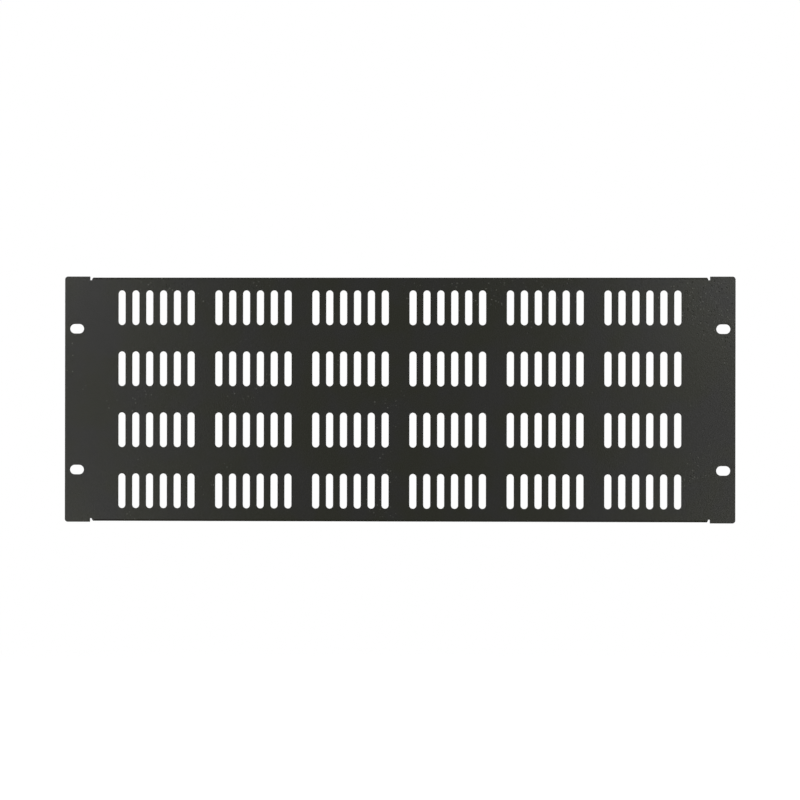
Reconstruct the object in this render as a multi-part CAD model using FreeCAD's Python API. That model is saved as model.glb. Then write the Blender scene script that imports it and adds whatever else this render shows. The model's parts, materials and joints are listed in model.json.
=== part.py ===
import FreeCAD, Part
import math
import os

# Vented blanking panel for a 19 inch rack, four rack units high.
# It is one steel sheet: a punched web with a mounting ear at each side, and its
# long edges folded back at a right angle to stiffen it.
# It stands as it is mounted: X across the rack, Z up, +Y into the rack.
# The origin is the centre of the four mounting slots, on the face of the ears
# that seats on the rack rails. All sizes are in millimetres.

# Sheet and outline
sheet = 1.2
panel_width = 482.6
panel_height = 177.0
ear_width = 18.3
ear_corner_radius = 2.2

# Folded edges
fold_inset = 0.7            # the folds stand in from the ears' edges by this
fold_depth = 12.0           # front face of the panel to the rear edge of a fold
fold_corner_radius = 2.0
bend_radius = 0.5           # on the inside of the bend
neutral_share = 0.4         # depth of the sheet's unstretched layer, from the inside of the bend
taper_angle = 30.0          # how far a fold's ends slope off square

# Relief notches between the ears and the folds
notch_width = 1.15
notch_past_bend = 0.25      # how far the notch is cut past the bend line into the web
notch_corner_radius = 0.2
notch_mouth_radius = 0.4    # on the ear's corner at the notch

# Mounting slots, lying across the panel
mount_slot_length = 10.0
mount_slot_width = 6.8
mount_inset = 8.75          # side edge of the panel to the slot's centre
mount_rise = 101.6          # lower slots to upper slots

# Vents, upright slots in groups with one vent left out between groups
vent_length = 25.0
vent_width = 5.0
vent_pitch = 10.0
vents_in_group = 6
row_pitch = 44.0
vent_end_flats = 6          # draw a vent's half-round end to within 0.1 mm

# Worked out from the sizes above
half_width = panel_width / 2
half_height = panel_height / 2
bend_outer = bend_radius + sheet
fold_face = half_height - fold_inset
bend_line = fold_face - bend_outer
bend_run = math.radians(90) * (bend_radius + neutral_share * sheet)
taper = math.tan(math.radians(taper_angle))
notch_floor = bend_line - notch_past_bend
ear_inner = half_width - ear_width
fold_end = ear_inner - notch_width
bend_taper = bend_run * taper
fold_start = fold_end - bend_taper
fold_rear = fold_depth - sheet
fold_rear_end = fold_start - (fold_rear - bend_radius) * taper

ACROSS = FreeCAD.Vector(1, 0, 0)
INTO_RACK = FreeCAD.Vector(0, 1, 0)
UP = FreeCAD.Vector(0, 0, 1)


def wire_with_round_corners(corners):
    """Closed wire through corners, each a point and the radius that rounds it."""
    ends = []
    for index, (point, radius) in enumerate(corners):
        before = corners[index - 1][0] - point
        after = corners[(index + 1) % len(corners)][0] - point
        before.normalize()
        after.normalize()
        if radius == 0:
            ends.append((point, None, point))
            continue
        half_angle = before.getAngle(after) / 2
        reach = radius / math.tan(half_angle)
        middle = before + after
        middle.normalize()
        to_arc = radius / math.sin(half_angle) - radius
        ends.append((point + before * reach, point + middle * to_arc, point + after * reach))
    edges = []
    for index, (start, middle, end) in enumerate(ends):
        if middle is not None:
            edges.append(Part.Arc(start, middle, end).toShape())
        edges.append(Part.LineSegment(end, ends[(index + 1) % len(ends)][0]).toShape())
    return Part.Wire(edges)


def mount_slot_wire(x, z):
    """Outline of a mounting slot on the front face, with true half-round ends."""
    centre = FreeCAD.Vector(x, -sheet, z)
    side = UP * (mount_slot_width / 2)
    straight = ACROSS * ((mount_slot_length - mount_slot_width) / 2)
    tip = ACROSS * (mount_slot_length / 2)
    right = centre + straight
    left = centre - straight
    edges = [
        Part.Arc(right - side, centre + tip, right + side).toShape(),
        Part.LineSegment(right + side, left + side).toShape(),
        Part.Arc(left + side, centre - tip, left - side).toShape(),
        Part.LineSegment(left - side, right - side).toShape(),
    ]
    return Part.Wire(edges)


def vent_wire(x, z):
    """Outline of a vent on the front face, each half-round end drawn with a few flats."""
    end_radius = vent_width / 2
    straight = (vent_length - vent_width) / 2
    points = []
    for end_z, first_angle in ((z + straight, 0), (z - straight, 180)):
        for corner in range(vent_end_flats + 1):
            angle = math.radians(first_angle + 180 * corner / vent_end_flats)
            across = end_radius * math.cos(angle)
            up = end_radius * math.sin(angle)
            points.append(FreeCAD.Vector(x + across, -sheet, end_z + up))
    return Part.makePolygon(points + points[:1])


def centred_places(count, pitch):
    """Places of a row of equal steps, centred on zero."""
    return [(index - (count - 1) / 2) * pitch for index in range(count)]


def count_that_fits(room, size, pitch):
    """How many features of one size, stepped by a pitch, a room holds."""
    return int((room - size) // pitch) + 1


def web_outline():
    """Outline of the flat front: both ears, the four relief notches and the bend lines."""
    quarter = [
        (half_width, half_height, ear_corner_radius),
        (ear_inner, half_height, notch_mouth_radius),
        (ear_inner, notch_floor, notch_corner_radius),
        (fold_end, notch_floor, notch_corner_radius),
        (fold_end, bend_line, 0),
    ]
    half = quarter + [(-x, z, radius) for x, z, radius in reversed(quarter)]
    whole = half + [(x, -z, radius) for x, z, radius in reversed(half)]
    return wire_with_round_corners([(FreeCAD.Vector(x, -sheet, z), radius) for x, z, radius in whole])


def mount_slots():
    """The four slots that take the rack screws."""
    reach = half_width - mount_inset
    return [
        mount_slot_wire(x, z)
        for x in (-reach, reach)
        for z in centred_places(2, mount_rise)
    ]


def vents():
    """Rows of vent groups, as many as fit with a vent's width of plain sheet round them."""
    group_pitch = (vents_in_group + 1) * vent_pitch
    group_width = (vents_in_group - 1) * vent_pitch + vent_width
    groups = count_that_fits(2 * (fold_end - vent_width), group_width, group_pitch)
    rows = count_that_fits(2 * (bend_line - vent_width), vent_length, row_pitch)
    return [
        vent_wire(group_x + vent_x, z)
        for z in centred_places(rows, row_pitch)
        for group_x in centred_places(groups, group_pitch)
        for vent_x in centred_places(vents_in_group, vent_pitch)
    ]


def punched_web():
    """The flat front of the panel with everything that is punched through it."""
    face = Part.makeFace([web_outline()] + mount_slots() + vents(), "Part::FaceMakerBullseye")
    return face.extrude(INTO_RACK * sheet)


def tapered_end_cutter():
    """What the tapered cut takes off the right-hand end of the upper bend.

    The edge is cut square through the flat sheet and then bent, so it runs round the
    bend as a helical face: it draws in evenly as the sheet turns.
    """
    beyond_sheet = bend_radius / 2
    inner = Part.makeHelix(4 * bend_taper, bend_taper, bend_radius - beyond_sheet)
    outer = Part.makeHelix(4 * bend_taper, bend_taper, bend_outer + beyond_sheet)
    face = Part.makeRuledSurface(inner.Edges[0], outer.Edges[0])
    cutter = face.extrude(UP * -(bend_taper + notch_width))
    # The helices start on X and climb along Z: that turns here from the web to the fold,
    # and climbs towards the panel's middle.
    turned = FreeCAD.Rotation(-INTO_RACK, UP, -ACROSS, "ZXY")
    cutter.Placement = FreeCAD.Placement(FreeCAD.Vector(fold_end, bend_radius, bend_line), turned)
    return cutter


def upper_bend():
    """The quarter turn from the web into the upper fold."""
    section = Part.makePlane(
        2 * fold_end, sheet, FreeCAD.Vector(-fold_end, -sheet, bend_line), UP, ACROSS
    )
    bend = section.revolve(FreeCAD.Vector(0, bend_radius, bend_line), ACROSS, -90)
    right = tapered_end_cutter()
    left = right.mirror(FreeCAD.Vector(), ACROSS)
    return bend.cut([right, left])


def upper_fold():
    """The flat of the upper fold, from the bend to its rear edge, with tapered ends."""
    right = [(fold_start, bend_radius, 0), (fold_rear_end, fold_rear, fold_corner_radius)]
    outline = right + [(-x, y, radius) for x, y, radius in reversed(right)]
    level = fold_face - sheet
    wire = wire_with_round_corners([(FreeCAD.Vector(x, y, level), radius) for x, y, radius in outline])
    return Part.Face(wire).extrude(UP * sheet)


def panel():
    """The whole sheet: the web with an equal bend and fold above and below."""
    upper = [upper_bend(), upper_fold()]
    lower = [piece.mirror(FreeCAD.Vector(), UP) for piece in upper]
    return punched_web().fuse(upper + lower).removeSplitter()


os.makedirs("parts", exist_ok=True)
panel().exportStep("parts/panel.step")
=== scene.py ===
import json
import math

import bpy
from bpy.props import FloatProperty, FloatVectorProperty, IntProperty, PointerProperty
from bpy.types import Operator, Panel, PropertyGroup
from mathutils import Matrix, Vector
from mathutils.geometry import delaunay_2d_cdt


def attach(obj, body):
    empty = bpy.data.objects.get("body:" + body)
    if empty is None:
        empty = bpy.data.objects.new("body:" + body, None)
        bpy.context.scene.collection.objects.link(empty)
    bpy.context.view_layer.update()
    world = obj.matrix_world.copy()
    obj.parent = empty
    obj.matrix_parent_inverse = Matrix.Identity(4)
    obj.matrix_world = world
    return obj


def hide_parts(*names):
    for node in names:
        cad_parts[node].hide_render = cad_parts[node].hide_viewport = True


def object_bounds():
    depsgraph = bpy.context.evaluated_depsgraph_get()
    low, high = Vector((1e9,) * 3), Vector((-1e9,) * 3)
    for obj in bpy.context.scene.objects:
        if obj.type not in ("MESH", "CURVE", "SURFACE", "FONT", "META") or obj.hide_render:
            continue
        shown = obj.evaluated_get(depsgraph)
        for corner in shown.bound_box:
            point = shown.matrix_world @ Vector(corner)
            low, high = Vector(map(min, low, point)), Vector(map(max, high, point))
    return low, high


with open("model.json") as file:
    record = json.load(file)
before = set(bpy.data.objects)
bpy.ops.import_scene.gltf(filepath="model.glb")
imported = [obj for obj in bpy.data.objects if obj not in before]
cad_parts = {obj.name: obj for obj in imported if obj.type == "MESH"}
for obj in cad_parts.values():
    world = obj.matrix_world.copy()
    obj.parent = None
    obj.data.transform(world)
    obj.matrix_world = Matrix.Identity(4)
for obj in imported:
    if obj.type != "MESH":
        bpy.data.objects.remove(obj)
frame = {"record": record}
CAD_LOW, CAD_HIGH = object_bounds()

bl_info = {
    "name": "Vented Rack Blanking Panel",
    "version": (1, 0, 0),
    "blender": (4, 5, 0),
    "location": "View3D > Sidebar > Rack Panel",
    "description": "Folds a powder-coated vented blanking panel for a 19 inch rack and lights it",
    "category": "Object",
}

# The panel is one steel sheet. Its outline, vents and slots are drawn flat, as they are
# punched, with u across the sheet, v up it and w into it from the front. The flat sheet
# is then folded: X across the rack, Z up, +Y into the rack, as in the frame.

MM = 0.001

# How finely round shapes are divided
ARC_STEP = math.radians(9)
SLOT_END_STEPS = 20
EDGE_STEPS = 3
BEND_STEPS = 10
BEND_STATION = 12 * MM      # between points along a bend
BEND_STATION_INSET = 3      # from a fold's end to the first of those points, in bend runs
SAME_POINT = 1e-9           # metres within which two points of the flat sheet are one

# The coat's patterns
NOISE_LOW, NOISE_HIGH = 0.3, 0.7        # nearly all values of a noise lie between these
PATCH_MM = 60               # across a patch of coarse grains and pits
# The patches carry the painted glints and painted shade of the grains and pits, so this crowds
# them beside the upper right lamp.
PATCH_OFFSET = (-1.458, 0.0, -0.226)    # moves the patches so that they crowd at the upper right
PATCH_EDGE = 0.54           # the patches' noise where a patch begins
PATCH_FULL = 0.62           # and where its grains and pits reach their whole height and depth
PATCH_CORE = 0.66           # and where they lie closest
EMPTY_IN_CORE = 0.5         # share of the places that have neither there
NIB_LEVEL = 0.2             # level middle of a grain or pit, as a share of its radius
DEEPEST_PIT = -1.4          # in nib depths
HIGHEST_GRAIN = 2.2         # in nib depths
DRIFT_MM = 40               # across a drift in the pigment
DRIFT_GREEN = 0.42          # the drift's noise where the coat is wholly greener
DRIFT_NEUTRAL = 0.6         # and where it is wholly neutral
SHEEN_DRIFT = 0.02          # how far the roughness drifts with it, up and down
RESIN_IOR = 1.5

# A Mix node's sockets for colours, which share their names with its other sockets
MIX_FACTOR, MIX_FIRST, MIX_SECOND, MIX_RESULT = 0, 6, 7, 2

# The studio
WHITE = "ffffff"
FLOOR_HALF = 12.0           # metres from the middle of the floor to its edge
FLOOR_FADE = (0.8, 2.2)     # metres from the panel between which paper turns to background
BACKDROP_FADE = (0.35, 0.75)    # a direction's Y between which dim room turns to backdrop
SENSOR_WIDTH = 36.0         # millimetres
CLIP_END = 50.0             # metres
CAMERA_AIM = (0.7 * MM, -0.3 * MM)      # across and up from the middle of the front
# Name, place and size in metres, power in watts
LAMPS = (
    ("upper_left_lamp", (-0.344, -0.4, 0.158), 0.16, 0.35),
    ("lower_left_lamp", (-0.344, -0.4, -0.158), 0.16, 0.31),
    ("upper_right_lamp", (0.332, -0.4, 0.157), 0.12, 0.42),
    ("lower_right_lamp", (0.332, -0.4, -0.157), 0.16, 0.28),
    ("rear_left_lamp", (-0.6, 0.8, 0.12), 0.5, 2.0),
    ("rear_right_lamp", (0.6, 0.8, 0.12), 0.5, 2.0),
)

BODY = "root"
NODE = "panel"


def linear(hex_colour):
    """Linear RGBA of an sRGB colour written as six hex digits."""
    channels = [int(hex_colour[index:index + 2], 16) / 255 for index in (0, 2, 4)]
    return [c / 12.92 if c <= 0.04045 else ((c + 0.055) / 1.055) ** 2.4 for c in channels] + [1.0]


def scale_for(millimetres):
    """Texture scale, in features per metre, whose features are this many millimetres across."""
    return 1 / (millimetres * MM)


def length(name, description, millimetres):
    """A length that a user can change, given in millimetres and kept in metres."""
    return FloatProperty(
        name=name, description=description, default=millimetres * MM, min=0.0,
        precision=5, subtype="DISTANCE", unit="LENGTH",
    )


def colour(name, description, hex_colour):
    """A colour that a user can change, given as sRGB hex."""
    return FloatVectorProperty(
        name=name, description=description, default=linear(hex_colour), size=4,
        min=0.0, max=1.0, subtype="COLOR",
    )


MOUNT = next(
    mount["dims"] for mount in frame["record"]["mounts"] if mount["name"] == "rack_slots"
)
PANEL_WIDTH_MM = (CAD_HIGH.x - CAD_LOW.x) / MM
PANEL_HEIGHT_MM = (CAD_HIGH.z - CAD_LOW.z) / MM
PANEL_DEPTH_MM = (CAD_HIGH.y - CAD_LOW.y) / MM


class RackPanelSizes(PropertyGroup):
    """Sizes of the folded sheet."""

    width: length("Width", "Over both ears", PANEL_WIDTH_MM)
    height: length("Height", "Of the ears", PANEL_HEIGHT_MM)
    depth: length("Depth", "Front face to the folds' rear edges", PANEL_DEPTH_MM)
    sheet: length("Sheet", "Thickness of the coated sheet", 1.2)
    edge_radius: length("Edge radius", "Rounding that the coat gives to a punched edge", 0.25)
    ear_width: length("Ear width", "Side edge to the relief notch", 18.3)
    ear_corner: length("Ear corner", "Radius of the ears' outer corners", 2.2)
    fold_inset: length("Fold inset", "How far the folds stand in from the ears' edges", 0.7)
    fold_corner: length("Fold corner", "Radius of the folds' rear corners", 2.0)
    bend_radius: length("Bend radius", "On the inside of the bend", 0.5)
    neutral_share: FloatProperty(
        name="Neutral share",
        description="Depth of the unstretched layer, from the inside of the bend",
        default=0.4, min=0.0, max=1.0, subtype="FACTOR",
    )
    taper: FloatProperty(
        name="Taper", description="How far the folds' ends slope off square",
        default=math.radians(30), subtype="ANGLE", unit="ROTATION",
    )
    notch_width: length("Notch width", "On the bend line", 1.15)
    notch_past_bend: length("Notch past bend", "How far it is cut into the flat front", 0.25)
    notch_corner: length("Notch corner", "Radius in the notch's corners", 0.2)
    notch_mouth: length("Notch mouth", "Radius on the ear's corner at the notch", 0.4)
    bend_corner: length("Bend corner", "Radius where the fold's end leaves the notch", 0.3)


class RackPanelHoles(PropertyGroup):
    """Sizes and numbers of what is punched through the sheet."""

    mount_length: length("Slot length", "Of a mounting slot, end to end", MOUNT["slot_length_mm"])
    mount_width: length("Slot width", "Of a mounting slot", 2 * MOUNT["hole_r_mm"])
    mount_across: length("Slots across", "Centre to centre across the rack", MOUNT["spacing_x_mm"])
    mount_rise: length("Slots up", "Centre to centre up the panel", MOUNT["spacing_y_mm"])
    vent_length: length("Vent length", "Of a vent, end to end", 25.0)
    vent_width: length("Vent width", "Of a vent", 5.0)
    vent_pitch: length("Vent pitch", "Centre to centre in a group", 10.0)
    row_pitch: length("Row pitch", "Centre to centre of the rows", 44.0)
    vents_in_group: IntProperty(
        name="Vents in a group", description="Side by side", default=6, min=1,
    )
    groups: IntProperty(name="Groups", description="Groups of vents in a row", default=6, min=1)
    rows: IntProperty(name="Rows", description="Rows of vents", default=4, min=1)


class RackPanelCoat(PropertyGroup):
    """Finish of the sheet."""

    coat_green: colour("Greener coat", "Where the black pigment shows a little green", "27281b")
    coat_neutral: colour("Neutral coat", "Where the black pigment is neutral", "282825")
    # Painted glint: this lighter colour on a grain's top stands in for lamp light catching it.
    nib_painted_glint: colour("Light grain", "Crest of a coarse grain, polished by handling", "84857c")
    # Painted shade: this dark colour at a pit's bottom stands in for the shade that falls in it.
    pit_painted_shade: colour("Dark pit", "Bottom of a pit in the coat", "0a0b08")
    roughness: FloatProperty(
        name="Roughness", description="Of the coat between its grains", default=0.43,
        min=0.0, max=1.0, subtype="FACTOR",
    )
    grain: length("Grain", "Size of the coat's fine texture", 0.9)
    grain_depth: length("Grain depth", "Height of the fine texture", 0.1)
    nib: length("Nib", "Width of a coarse grain or pit in the coat", 1.7)
    nib_spacing: length("Nib spacing", "Between the places where a grain or pit may lie", 1.9)
    nib_depth: length("Nib depth", "Typical height of a coarse grain and depth of a pit", 0.25)


class RackPanelStage(PropertyGroup):
    """Floor, room, lamps and camera."""

    floor: colour("Floor", "Plain pale floor, as the camera sees it", "f8f8f6")
    floor_bounce: colour("Floor bounce", "The same floor, as it lights the panel", "acacaa")
    floor_drop: length("Floor drop", "Floor below the panel's lower edge", 250.0)
    room_light: FloatProperty(
        name="Room light", description="Even light of the dim room, where 1 is white",
        default=0.3, min=0.0,
    )
    lamp_strength: FloatProperty(
        name="Lamp strength", description="Multiplies every lamp", default=1.0, min=0.0,
    )
    camera_distance: length("Camera distance", "Camera to the panel's front", 2500.0)
    camera_azimuth: FloatProperty(
        name="Camera azimuth", description="How far the camera stands to the right of square",
        default=math.radians(2.11), subtype="ANGLE", unit="ROTATION",
    )
    camera_roll: FloatProperty(
        name="Camera roll", description="About its own line of sight",
        default=math.radians(0.083), subtype="ANGLE", unit="ROTATION",
    )
    focal_length: FloatProperty(
        name="Focal length", description="Of the camera, in millimetres", default=156.44,
        min=1.0, subtype="DISTANCE_CAMERA",
    )


# Flat outlines. A loop is a list of points, each with the direction that leaves the sheet
# there. Loops run with the sheet on their left: the outline anticlockwise, holes clockwise.

def turned(vector, angle):
    """A flat vector turned anticlockwise."""
    return Matrix.Rotation(angle, 2) @ vector


def rounded_loop(corners):
    """The loop through corners, each a point and the radius that rounds it."""
    loop = []
    for index, (corner, radius) in enumerate(corners):
        arriving = (corner - corners[index - 1][0]).normalized()
        leaving = (corners[(index + 1) % len(corners)][0] - corner).normalized()
        turn = math.atan2(arriving.cross(leaving), arriving.dot(leaving))
        side = math.copysign(1, turn)
        out = Vector((arriving.y, -arriving.x))
        centre = corner - arriving * radius * math.tan(abs(turn) / 2) - out * radius * side
        steps = max(2, math.ceil(abs(turn) / ARC_STEP))
        for step in range(steps + 1):
            direction = turned(out, turn * step / steps)
            loop.append((centre + direction * radius * side, direction))
    return loop


def split_at_heights(loop, heights):
    """The same loop with points added where it crosses some heights."""
    split = []
    for index, (point, out) in enumerate(loop):
        split.append((point, out))
        next_point, next_out = loop[(index + 1) % len(loop)]
        low, high = sorted((point.y, next_point.y))
        crossed = [height for height in heights if low < height < high]
        for height in sorted(crossed, key=lambda value: abs(value - point.y)):
            share = (height - point.y) / (next_point.y - point.y)
            split.append((point.lerp(next_point, share), out.lerp(next_out, share).normalized()))
    return split


def slot_loop(centre, size, width, along):
    """The loop of a round-ended slot, clockwise, its long side lying along a direction."""
    radius = width / 2
    loop = []
    for way in (1, -1):
        end = centre + along * way * (size / 2 - radius)
        first = turned(along * way, math.radians(90))
        for step in range(SLOT_END_STEPS + 1):
            spoke = turned(first, -math.pi * step / SLOT_END_STEPS)
            loop.append((end + spoke * radius, -spoke))
    return loop


def centred(count, pitch):
    """Places of a row of equal steps, centred on zero."""
    return [(index - (count - 1) / 2) * pitch for index in range(count)]


class Fold:
    """Where the flat sheet bends, and where each of its points lies once it is folded."""

    def __init__(self, sizes):
        self.sheet = sizes.sheet
        self.inside = sizes.bend_radius
        self.outside = sizes.bend_radius + sizes.sheet
        self.face = sizes.height / 2 - sizes.fold_inset
        self.line = self.face - self.outside
        self.run = math.radians(90) * (sizes.bend_radius + sizes.neutral_share * sizes.sheet)
        self.ear = sizes.width / 2 - sizes.ear_width
        self.end = self.ear - sizes.notch_width
        self.edge = self.line + self.run + sizes.depth - sizes.sheet - sizes.bend_radius
        self.heights = [self.line + self.run * step / BEND_STEPS for step in range(BEND_STEPS + 1)]

    def place(self, u, v, w):
        """A flat point's place on the folded sheet, and which way is up and into it there."""
        over = abs(v) - self.line
        if over <= 0 or abs(u) > (self.ear + self.end) / 2:
            return Vector((u, w - self.sheet, v)), Vector((0, 0, 1)), Vector((0, 1, 0))
        side = math.copysign(1, v)
        turn = min(over / self.run, 1) * math.radians(90)
        radius = self.outside - w
        flat = max(over - self.run, 0)
        y = self.inside - radius * math.cos(turn) + flat
        z = self.line + radius * math.sin(turn)
        up = Vector((0, side * math.sin(turn), math.cos(turn)))
        inward = Vector((0, math.cos(turn), -side * math.sin(turn)))
        return Vector((u, y, side * z)), up, inward


def outline_loop(sizes, fold):
    """The flat sheet's outline, with its ears, relief notches and folds."""
    half_width = sizes.width / 2
    half_height = sizes.height / 2
    floor = fold.line - sizes.notch_past_bend
    rear_end = fold.end - (fold.edge - fold.line) * math.tan(sizes.taper)
    quarter = [
        (half_width, half_height, sizes.ear_corner),
        (fold.ear, half_height, sizes.notch_mouth),
        (fold.ear, floor, sizes.notch_corner),
        (fold.end, floor, sizes.notch_corner),
        (fold.end, fold.line, sizes.bend_corner),
        (rear_end, fold.edge, sizes.fold_corner),
    ]
    half = quarter + [(-u, v, radius) for u, v, radius in reversed(quarter)]
    whole = half + [(u, -v, radius) for u, v, radius in reversed(half)]
    loop = rounded_loop([(Vector((u, v)), radius) for u, v, radius in whole])
    return split_at_heights(loop, fold.heights + [-height for height in fold.heights])


def hole_loops(holes):
    """The loops of the mounting slots and the vents."""
    across, up = Vector((1, 0)), Vector((0, 1))
    loops = [
        slot_loop(Vector((u, v)), holes.mount_length, holes.mount_width, across)
        for u in centred(2, holes.mount_across)
        for v in centred(2, holes.mount_rise)
    ]
    group_pitch = (holes.vents_in_group + 1) * holes.vent_pitch
    for v in centred(holes.rows, holes.row_pitch):
        for group in centred(holes.groups, group_pitch):
            for vent in centred(holes.vents_in_group, holes.vent_pitch):
                centre = Vector((group + vent, v))
                loops.append(slot_loop(centre, holes.vent_length, holes.vent_width, up))
    return loops


def edge_rings(sheet, radius):
    """Rings that round an edge from front to rear: inset, depth and how far each one leans out."""
    front = []
    for step in range(EDGE_STEPS + 1):
        lean = math.radians(90) * step / EDGE_STEPS
        front.append((radius * (1 - math.sin(lean)), radius * (1 - math.cos(lean)), lean))
    rear = [(inset, sheet - depth, math.pi - lean) for inset, depth, lean in reversed(front)]
    return front + rear


def bend_stations(fold):
    """Rows of flat points along both bends, one at each step of the turn.

    They keep the triangles there short, so that the sheet curves evenly.
    """
    reach = fold.end - BEND_STATION_INSET * fold.run
    count = round(2 * reach / BEND_STATION) + 1
    rows = [height * side for height in fold.heights for side in (1, -1)]
    return [[Vector((u, v)) for u in centred(count, 2 * reach / (count - 1))] for v in rows]


def skin_triangles(loops, stations):
    """Triangles of the flat sheet between its loops, anticlockwise.

    Each is three indices into the loops' points, followed by the stations' points.
    """
    points = [point for loop in loops for point in loop]
    owner = [index for index, loop in enumerate(loops) for _ in loop]
    edges = []
    for loop in loops:
        first = len(edges)
        edges += [(first + step, first + (step + 1) % len(loop)) for step in range(len(loop))]
    for row in stations:
        first = len(points)
        points += row
        owner += [None] * len(row)
        edges += [(first + step, first + step + 1) for step in range(len(row) - 1)]
    _, _, triangles, sources, _, _ = delaunay_2d_cdt(points, edges, [], 0, SAME_POINT)
    outline = loops[0]
    kept = []
    for triangle in triangles:
        a, b, c = [sources[corner][0] for corner in triangle]
        owners = {owner[a], owner[b], owner[c]}
        # With all its corners on one hole a triangle fills the hole, and with all of them on
        # the outline it may lie outside the sheet.
        if len(owners) == 1 and None not in owners:
            middle = (points[a] + points[b] + points[c]) / 3
            if owner[a] != 0 or not encloses(outline, middle):
                continue
        anticlockwise = (points[b] - points[a]).cross(points[c] - points[a]) > 0
        kept.append((a, b, c) if anticlockwise else (a, c, b))
    return kept


def encloses(loop, point):
    """Whether a loop of flat points goes round a point."""
    inside = False
    for index, start in enumerate(loop):
        end = loop[index - 1]
        if (start.y > point.y) != (end.y > point.y):
            crossing = start.x + (point.y - start.y) * (end.x - start.x) / (end.y - start.y)
            if point.x < crossing:
                inside = not inside
    return inside


def folded_sheet(sizes, holes):
    """Points, normals and faces of the whole folded panel."""
    fold = Fold(sizes)
    loops = [outline_loop(sizes, fold)] + hole_loops(holes)
    rings = edge_rings(sizes.sheet, sizes.edge_radius)
    stations = bend_stations(fold)
    points, normals, faces = [], [], []

    def add(flat, depth, lean, out):
        """One point of the folded sheet. Its normal leans from the front to a flat direction."""
        place, up, inward = fold.place(flat.x, flat.y, depth)
        points.append(place)
        sideways = Vector((out.x, 0, 0)) + up * out.y
        normals.append((sideways * math.sin(lean) - inward * math.cos(lean)).normalized())

    ring_starts = []
    for inset, depth, lean in rings:
        ring_starts.append(len(points))
        for loop in loops:
            for point, out in loop:
                add(point - out * inset, depth, lean, out)
        # Only the first and last ring bound a skin, which has the points along the bends too.
        if lean in (rings[0][2], rings[-1][2]):
            for row in stations:
                for point in row:
                    add(point, depth, lean, Vector((0, 0)))
    first = 0
    for loop in loops:
        for nearer, further in zip(ring_starts, ring_starts[1:]):
            for step in range(len(loop)):
                here, there = first + step, first + (step + 1) % len(loop)
                faces.append((nearer + here, further + here, further + there, nearer + there))
        first += len(loop)
    inset = rings[0][0]
    skin_loops = [[point - out * inset for point, out in loop] for loop in loops]
    front, rear = ring_starts[0], ring_starts[-1]
    for a, b, c in skin_triangles(skin_loops, stations):
        faces.append((front + a, front + b, front + c))
        faces.append((rear + a, rear + c, rear + b))
    return points, normals, faces


# Materials

def add_node(tree, kind, inputs=(), **settings):
    """Adds a node, sets it, and fills its inputs with values or with other nodes' outputs."""
    node = tree.nodes.new(kind)
    for name, value in settings.items():
        setattr(node, name, value)
    for socket, value in dict(inputs).items():
        if isinstance(value, bpy.types.NodeSocket):
            tree.links.new(value, node.inputs[socket])
        else:
            node.inputs[socket].default_value = value
    return node


def new_material(name):
    """An empty node material and its tree."""
    material = bpy.data.materials.new(name)
    material.use_nodes = True
    material.node_tree.nodes.clear()
    return material, material.node_tree


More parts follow.
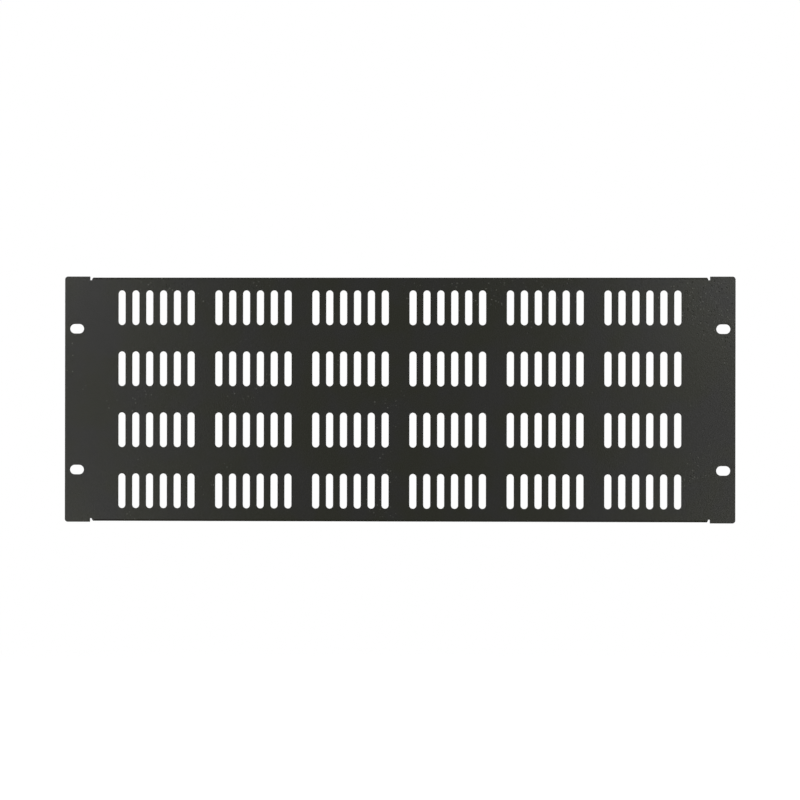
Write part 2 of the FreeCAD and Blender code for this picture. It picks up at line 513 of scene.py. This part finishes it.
def textured_powder_coat(look):
    """Black polyester powder coat with a fine texture, sprayed and baked on mild steel sheet.

    To the eye it is a soft, slightly green charcoal. Its sheen is broad, so that no reflection
    has an edge, and a lamp that grazes it picks out fine pebbling. Coarse grains and pits lie
    in patches. Each grain's top has a painted glint and each pit painted shade: lighter and
    darker colour that stands in for the light that grazes them.
    """
    material, tree = new_material("textured_black_powder_coat")
    place = add_node(tree, "ShaderNodeTexCoord").outputs["Object"]
    # The real pebbling is 0.2 to 0.4 mm across, under half a pixel in the main view, so it is
    # drawn as coarse as its size here.
    pebbles = add_node(tree, "ShaderNodeTexNoise", {
        "Vector": place, "Scale": scale_for(look.grain / MM), "Detail": 3.0, "Roughness": 0.55,
    })
    # Coarse grains and pits: each cell of the pattern has one place for one, and few cells
    # have any. They crowd in patches, most of all at the upper right of the front, beside the
    # upper right lamp, and fade out towards a patch's edge. Their bumps are real, but the light
    # colour on a grain's top is a painted glint and the dark colour in a pit is painted shade.
    cells = add_node(tree, "ShaderNodeTexVoronoi", {
        "Vector": place, "Scale": scale_for(look.nib_spacing / MM), "Randomness": 1.0,
    }, feature="F1")
    reach = look.nib / look.nib_spacing / 2
    shape = add_node(tree, "ShaderNodeMapRange", {
        "Value": cells.outputs["Distance"], "From Min": NIB_LEVEL * reach, "From Max": reach,
        "To Min": 1.0, "To Max": 0.0,
    }, interpolation_type="SMOOTHSTEP")
    patch_place = add_node(tree, "ShaderNodeMapping", {"Vector": place, "Location": PATCH_OFFSET})
    patches = add_node(tree, "ShaderNodeTexNoise", {
        "Vector": patch_place.outputs["Vector"], "Scale": scale_for(PATCH_MM),
        "Detail": 3.0, "Roughness": 0.6,
    })
    rarity = add_node(tree, "ShaderNodeMapRange", {
        "Value": patches.outputs["Fac"], "From Min": PATCH_EDGE, "From Max": PATCH_CORE,
        "To Min": 1.0, "To Max": EMPTY_IN_CORE,
    })
    draw = add_node(tree, "ShaderNodeSeparateColor", {"Color": cells.outputs["Color"]})
    here = add_node(tree, "ShaderNodeMath", {
        0: draw.outputs["Red"], 1: rarity.outputs["Result"],
    }, operation="GREATER_THAN")
    strength = add_node(tree, "ShaderNodeMapRange", {
        "Value": patches.outputs["Fac"], "From Min": PATCH_EDGE, "From Max": PATCH_FULL,
    })
    amount = add_node(tree, "ShaderNodeMath", {
        0: shape.outputs["Result"], 1: here.outputs["Value"],
    }, operation="MULTIPLY")
    faded = add_node(tree, "ShaderNodeMath", {
        0: amount.outputs["Value"], 1: strength.outputs["Result"],
    }, operation="MULTIPLY")
    way = add_node(tree, "ShaderNodeMapRange", {
        "Value": draw.outputs["Green"], "To Min": DEEPEST_PIT, "To Max": HIGHEST_GRAIN,
    })
    rise = add_node(tree, "ShaderNodeMath", {
        0: faded.outputs["Value"], 1: way.outputs["Result"],
    }, operation="MULTIPLY")
    # Painted glint: how far a grain's top takes the light grain colour.
    crest = add_node(tree, "ShaderNodeMapRange", {"Value": rise.outputs["Value"]})
    # Painted shade: how far a pit takes the dark pit colour.
    pit = add_node(tree, "ShaderNodeMapRange", {"Value": rise.outputs["Value"], "From Max": -1.0})
    fine_bump = add_node(tree, "ShaderNodeBump", {
        "Height": pebbles.outputs["Fac"], "Strength": 1.0, "Distance": look.grain_depth,
    })
    bump = add_node(tree, "ShaderNodeBump", {
        "Height": rise.outputs["Value"], "Strength": 1.0, "Distance": look.nib_depth,
        "Normal": fine_bump.outputs["Normal"],
    })
    # The pigment drifts between two blacks over a few centimetres, as the spray overlaps.
    drift = add_node(tree, "ShaderNodeTexNoise", {
        "Vector": place, "Scale": scale_for(DRIFT_MM), "Detail": 3.0, "Roughness": 0.6,
    })
    tint = add_node(tree, "ShaderNodeValToRGB", {"Fac": drift.outputs["Fac"]})
    low, high = tint.color_ramp.elements
    low.position, low.color = DRIFT_GREEN, look.coat_green
    high.position, high.color = DRIFT_NEUTRAL, look.coat_neutral
    # Paints the glints onto the grains' tops.
    with_painted_glint = add_node(tree, "ShaderNodeMix", {
        MIX_FACTOR: crest.outputs["Result"], MIX_FIRST: tint.outputs["Color"],
        MIX_SECOND: look.nib_painted_glint,
    }, data_type="RGBA")
    # Paints shade into the pits.
    with_painted_pit_shade = add_node(tree, "ShaderNodeMix", {
        MIX_FACTOR: pit.outputs["Result"], MIX_FIRST: with_painted_glint.outputs[MIX_RESULT],
        MIX_SECOND: look.pit_painted_shade,
    }, data_type="RGBA")
    sheen = add_node(tree, "ShaderNodeMapRange", {
        "Value": drift.outputs["Fac"], "From Min": NOISE_LOW, "From Max": NOISE_HIGH,
        "To Min": look.roughness - SHEEN_DRIFT, "To Max": look.roughness + SHEEN_DRIFT,
    })
    coat = add_node(tree, "ShaderNodeBsdfPrincipled", {
        "Base Color": with_painted_pit_shade.outputs[MIX_RESULT], "Roughness": sheen.outputs["Result"],
        "IOR": RESIN_IOR, "Normal": bump.outputs["Normal"],
    })
    add_node(tree, "ShaderNodeOutputMaterial", {"Surface": coat.outputs["BSDF"]})
    return material


def shows_background(tree, position, start, end):
    """How far a ray shows the white background, from 0 to 1.

    It does so wholly from the camera and through glass. Gloss shows it where the backdrop
    stands, behind the panel, from a start to an end of a position's Y: the room in front,
    which the panel faces, is dim.
    """
    rays = add_node(tree, "ShaderNodeLightPath")
    parts = add_node(tree, "ShaderNodeSeparateXYZ", {"Vector": position})
    behind = add_node(tree, "ShaderNodeMapRange", {
        "Value": parts.outputs["Y"], "From Min": start, "From Max": end,
    }, interpolation_type="SMOOTHSTEP")
    mirrored = add_node(tree, "ShaderNodeMath", {
        0: rays.outputs["Is Glossy Ray"], 1: behind.outputs["Result"],
    }, operation="MULTIPLY")
    direct = add_node(tree, "ShaderNodeMath", {
        0: rays.outputs["Is Camera Ray"], 1: rays.outputs["Is Transmission Ray"],
    }, operation="MAXIMUM")
    share = add_node(tree, "ShaderNodeMath", {
        0: direct.outputs["Value"], 1: mirrored.outputs["Value"],
    }, operation="MAXIMUM")
    return share.outputs["Value"]


def studio_floor(look):
    """Matt white paper, unrolled under the panel and far beyond it.

    To the eye it is plain white, without sheen, edge or horizon: it has a glow of its own
    colour, and turns to the white background further off. The light and shadow that fall on
    it show on top of that. To the panel it is a dimmer floor, so that it doesn't flood it.
    """
    material, tree = new_material("matt_white_paper")
    start, end = FLOOR_FADE
    place = add_node(tree, "ShaderNodeTexCoord").outputs["Object"]
    distance = add_node(tree, "ShaderNodeVectorMath", {0: place}, operation="LENGTH")
    far = add_node(tree, "ShaderNodeMapRange", {
        "Value": distance.outputs["Value"], "From Min": start, "From Max": end,
    }, interpolation_type="SMOOTHSTEP")
    paper = add_node(tree, "ShaderNodeBsdfDiffuse", {"Color": look.floor})
    glow = add_node(tree, "ShaderNodeEmission", {"Color": look.floor, "Strength": 1.0})
    lit_paper = add_node(tree, "ShaderNodeAddShader", {
        0: paper.outputs["BSDF"], 1: glow.outputs["Emission"],
    })
    white = add_node(tree, "ShaderNodeEmission", {"Color": linear(WHITE), "Strength": 1.0})
    seen = add_node(tree, "ShaderNodeMixShader", {
        "Fac": far.outputs["Result"], 1: lit_paper.outputs["Shader"], 2: white.outputs["Emission"],
    })
    dim_paper = add_node(tree, "ShaderNodeBsdfDiffuse", {"Color": look.floor_bounce})
    surface = add_node(tree, "ShaderNodeMixShader", {
        "Fac": shows_background(tree, place, start, end),
        1: dim_paper.outputs["BSDF"], 2: seen.outputs["Shader"],
    })
    add_node(tree, "ShaderNodeOutputMaterial", {"Surface": surface.outputs["Shader"]})
    return material


# Operators

class RACKPANEL_OT_panel(Operator):
    """Fold the vented blanking panel from its flat pattern and coat it"""

    bl_idname = "rackpanel.panel"
    bl_label = "Blanking panel"
    bl_options = {"REGISTER", "UNDO"}

    def execute(self, context):
        sizes, holes = context.scene.rack_panel_sizes, context.scene.rack_panel_holes
        points, normals, faces = folded_sheet(sizes, holes)
        mesh = bpy.data.meshes.new("vented_panel")
        mesh.from_pydata(points, [], faces)
        mesh.shade_smooth()
        mesh.normals_split_custom_set_from_vertices(normals)
        mesh.materials.append(textured_powder_coat(context.scene.rack_panel_coat))
        if mesh.validate(verbose=True):
            raise RuntimeError("the folded panel's mesh has faults")
        panel = bpy.data.objects.new("vented_panel", mesh)
        context.scene.collection.objects.link(panel)
        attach(panel, BODY)
        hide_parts(NODE)
        return {"FINISHED"}


def area_lamp(scene, name, place, aim, size, power):
    """A square soft lamp that shines at a point."""
    data = bpy.data.lights.new(name, "AREA")
    data.shape = "SQUARE"
    data.size = size
    data.energy = power
    lamp = bpy.data.objects.new(name, data)
    lamp.location = place
    lamp.rotation_euler = (Vector(aim) - Vector(place)).to_track_quat("-Z", "Y").to_euler()
    lamp.visible_camera = False
    scene.collection.objects.link(lamp)


class RACKPANEL_OT_stage(Operator):
    """Set the panel in a plain white studio, with soft lamps and the camera"""

    bl_idname = "rackpanel.stage"
    bl_label = "Studio"
    bl_options = {"REGISTER", "UNDO"}

    def execute(self, context):
        scene = context.scene
        stage = scene.rack_panel_stage
        self.floor(scene, stage)
        self.world(scene, stage)
        self.lamps(scene, stage)
        self.camera(scene, stage)
        scene.view_settings.view_transform = "Standard"
        return {"FINISHED"}

    def floor(self, scene, stage):
        half, level = FLOOR_HALF, CAD_LOW.z - stage.floor_drop
        corners = [
            (-half, -half, level), (half, -half, level),
            (half, half, level), (-half, half, level),
        ]
        mesh = bpy.data.meshes.new("floor")
        mesh.from_pydata(corners, [], [(0, 1, 2, 3)])
        mesh.materials.append(studio_floor(stage))
        floor = bpy.data.objects.new("floor", mesh)
        scene.collection.objects.link(floor)

    def world(self, scene, stage):
        world = bpy.data.worlds.new("white_studio")
        world.use_nodes = True
        tree = world.node_tree
        tree.nodes.clear()
        direction = add_node(tree, "ShaderNodeTexCoord").outputs["Generated"]
        seen = add_node(tree, "ShaderNodeBackground", {"Color": linear(WHITE), "Strength": 1.0})
        light = add_node(tree, "ShaderNodeBackground", {
            "Color": linear(WHITE), "Strength": stage.room_light,
        })
        mix = add_node(tree, "ShaderNodeMixShader", {
            "Fac": shows_background(tree, direction, *BACKDROP_FADE),
            1: light.outputs["Background"], 2: seen.outputs["Background"],
        })
        add_node(tree, "ShaderNodeOutputWorld", {"Surface": mix.outputs["Shader"]})
        scene.world = world

    def lamps(self, scene, stage):
        centre = (0, 0, 0)
        for name, place, size, power in LAMPS:
            area_lamp(scene, name, place, centre, size, power * stage.lamp_strength)

    def camera(self, scene, stage):
        data = bpy.data.cameras.new("camera")
        data.sensor_width = SENSOR_WIDTH
        data.lens = stage.focal_length
        data.clip_end = CLIP_END
        camera = bpy.data.objects.new("camera", data)
        scene.collection.objects.link(camera)
        across, up = CAMERA_AIM
        aim = Vector((across, CAD_LOW.y, up))
        back = Vector((math.sin(stage.camera_azimuth), -math.cos(stage.camera_azimuth), 0))
        stand = Matrix.Translation(aim + back * stage.camera_distance)
        level = back.to_track_quat("Z", "Y").to_matrix().to_4x4()
        roll = Matrix.Rotation(stage.camera_roll, 4, "Z")
        camera.matrix_world = stand @ level @ roll
        scene.camera = camera


class RACKPANEL_PT_sidebar(Panel):
    """Sizes, finish and studio of the rack panel"""

    bl_idname = "RACKPANEL_PT_sidebar"
    bl_label = "Rack Panel"
    bl_space_type = "VIEW_3D"
    bl_region_type = "UI"
    bl_category = "Rack Panel"

    def draw(self, context):
        scene = context.scene
        for title, group, operator in (
            ("Sheet", scene.rack_panel_sizes, None),
            ("Holes", scene.rack_panel_holes, None),
            ("Coat", scene.rack_panel_coat, RACKPANEL_OT_panel),
            ("Studio", scene.rack_panel_stage, RACKPANEL_OT_stage),
        ):
            box = self.layout.box()
            box.label(text=title)
            for name in group.__annotations__:
                box.prop(group, name)
            if operator is not None:
                box.operator(operator.bl_idname)


CLASSES = (
    RackPanelSizes, RackPanelHoles, RackPanelCoat, RackPanelStage,
    RACKPANEL_OT_panel, RACKPANEL_OT_stage, RACKPANEL_PT_sidebar,
)
GROUPS = {
    "rack_panel_sizes": RackPanelSizes,
    "rack_panel_holes": RackPanelHoles,
    "rack_panel_coat": RackPanelCoat,
    "rack_panel_stage": RackPanelStage,
}


def register():
    for cls in CLASSES:
        bpy.utils.register_class(cls)
    for name, group in GROUPS.items():
        setattr(bpy.types.Scene, name, PointerProperty(type=group))


def unregister():
    for name in GROUPS:
        delattr(bpy.types.Scene, name)
    for cls in reversed(CLASSES):
        bpy.utils.unregister_class(cls)


def main():
    """Builds the panel and its studio."""
    register()
    bpy.ops.rackpanel.panel()
    bpy.ops.rackpanel.stage()
    bpy.context.view_layer.update()


if __name__ == "__main__":
    main()
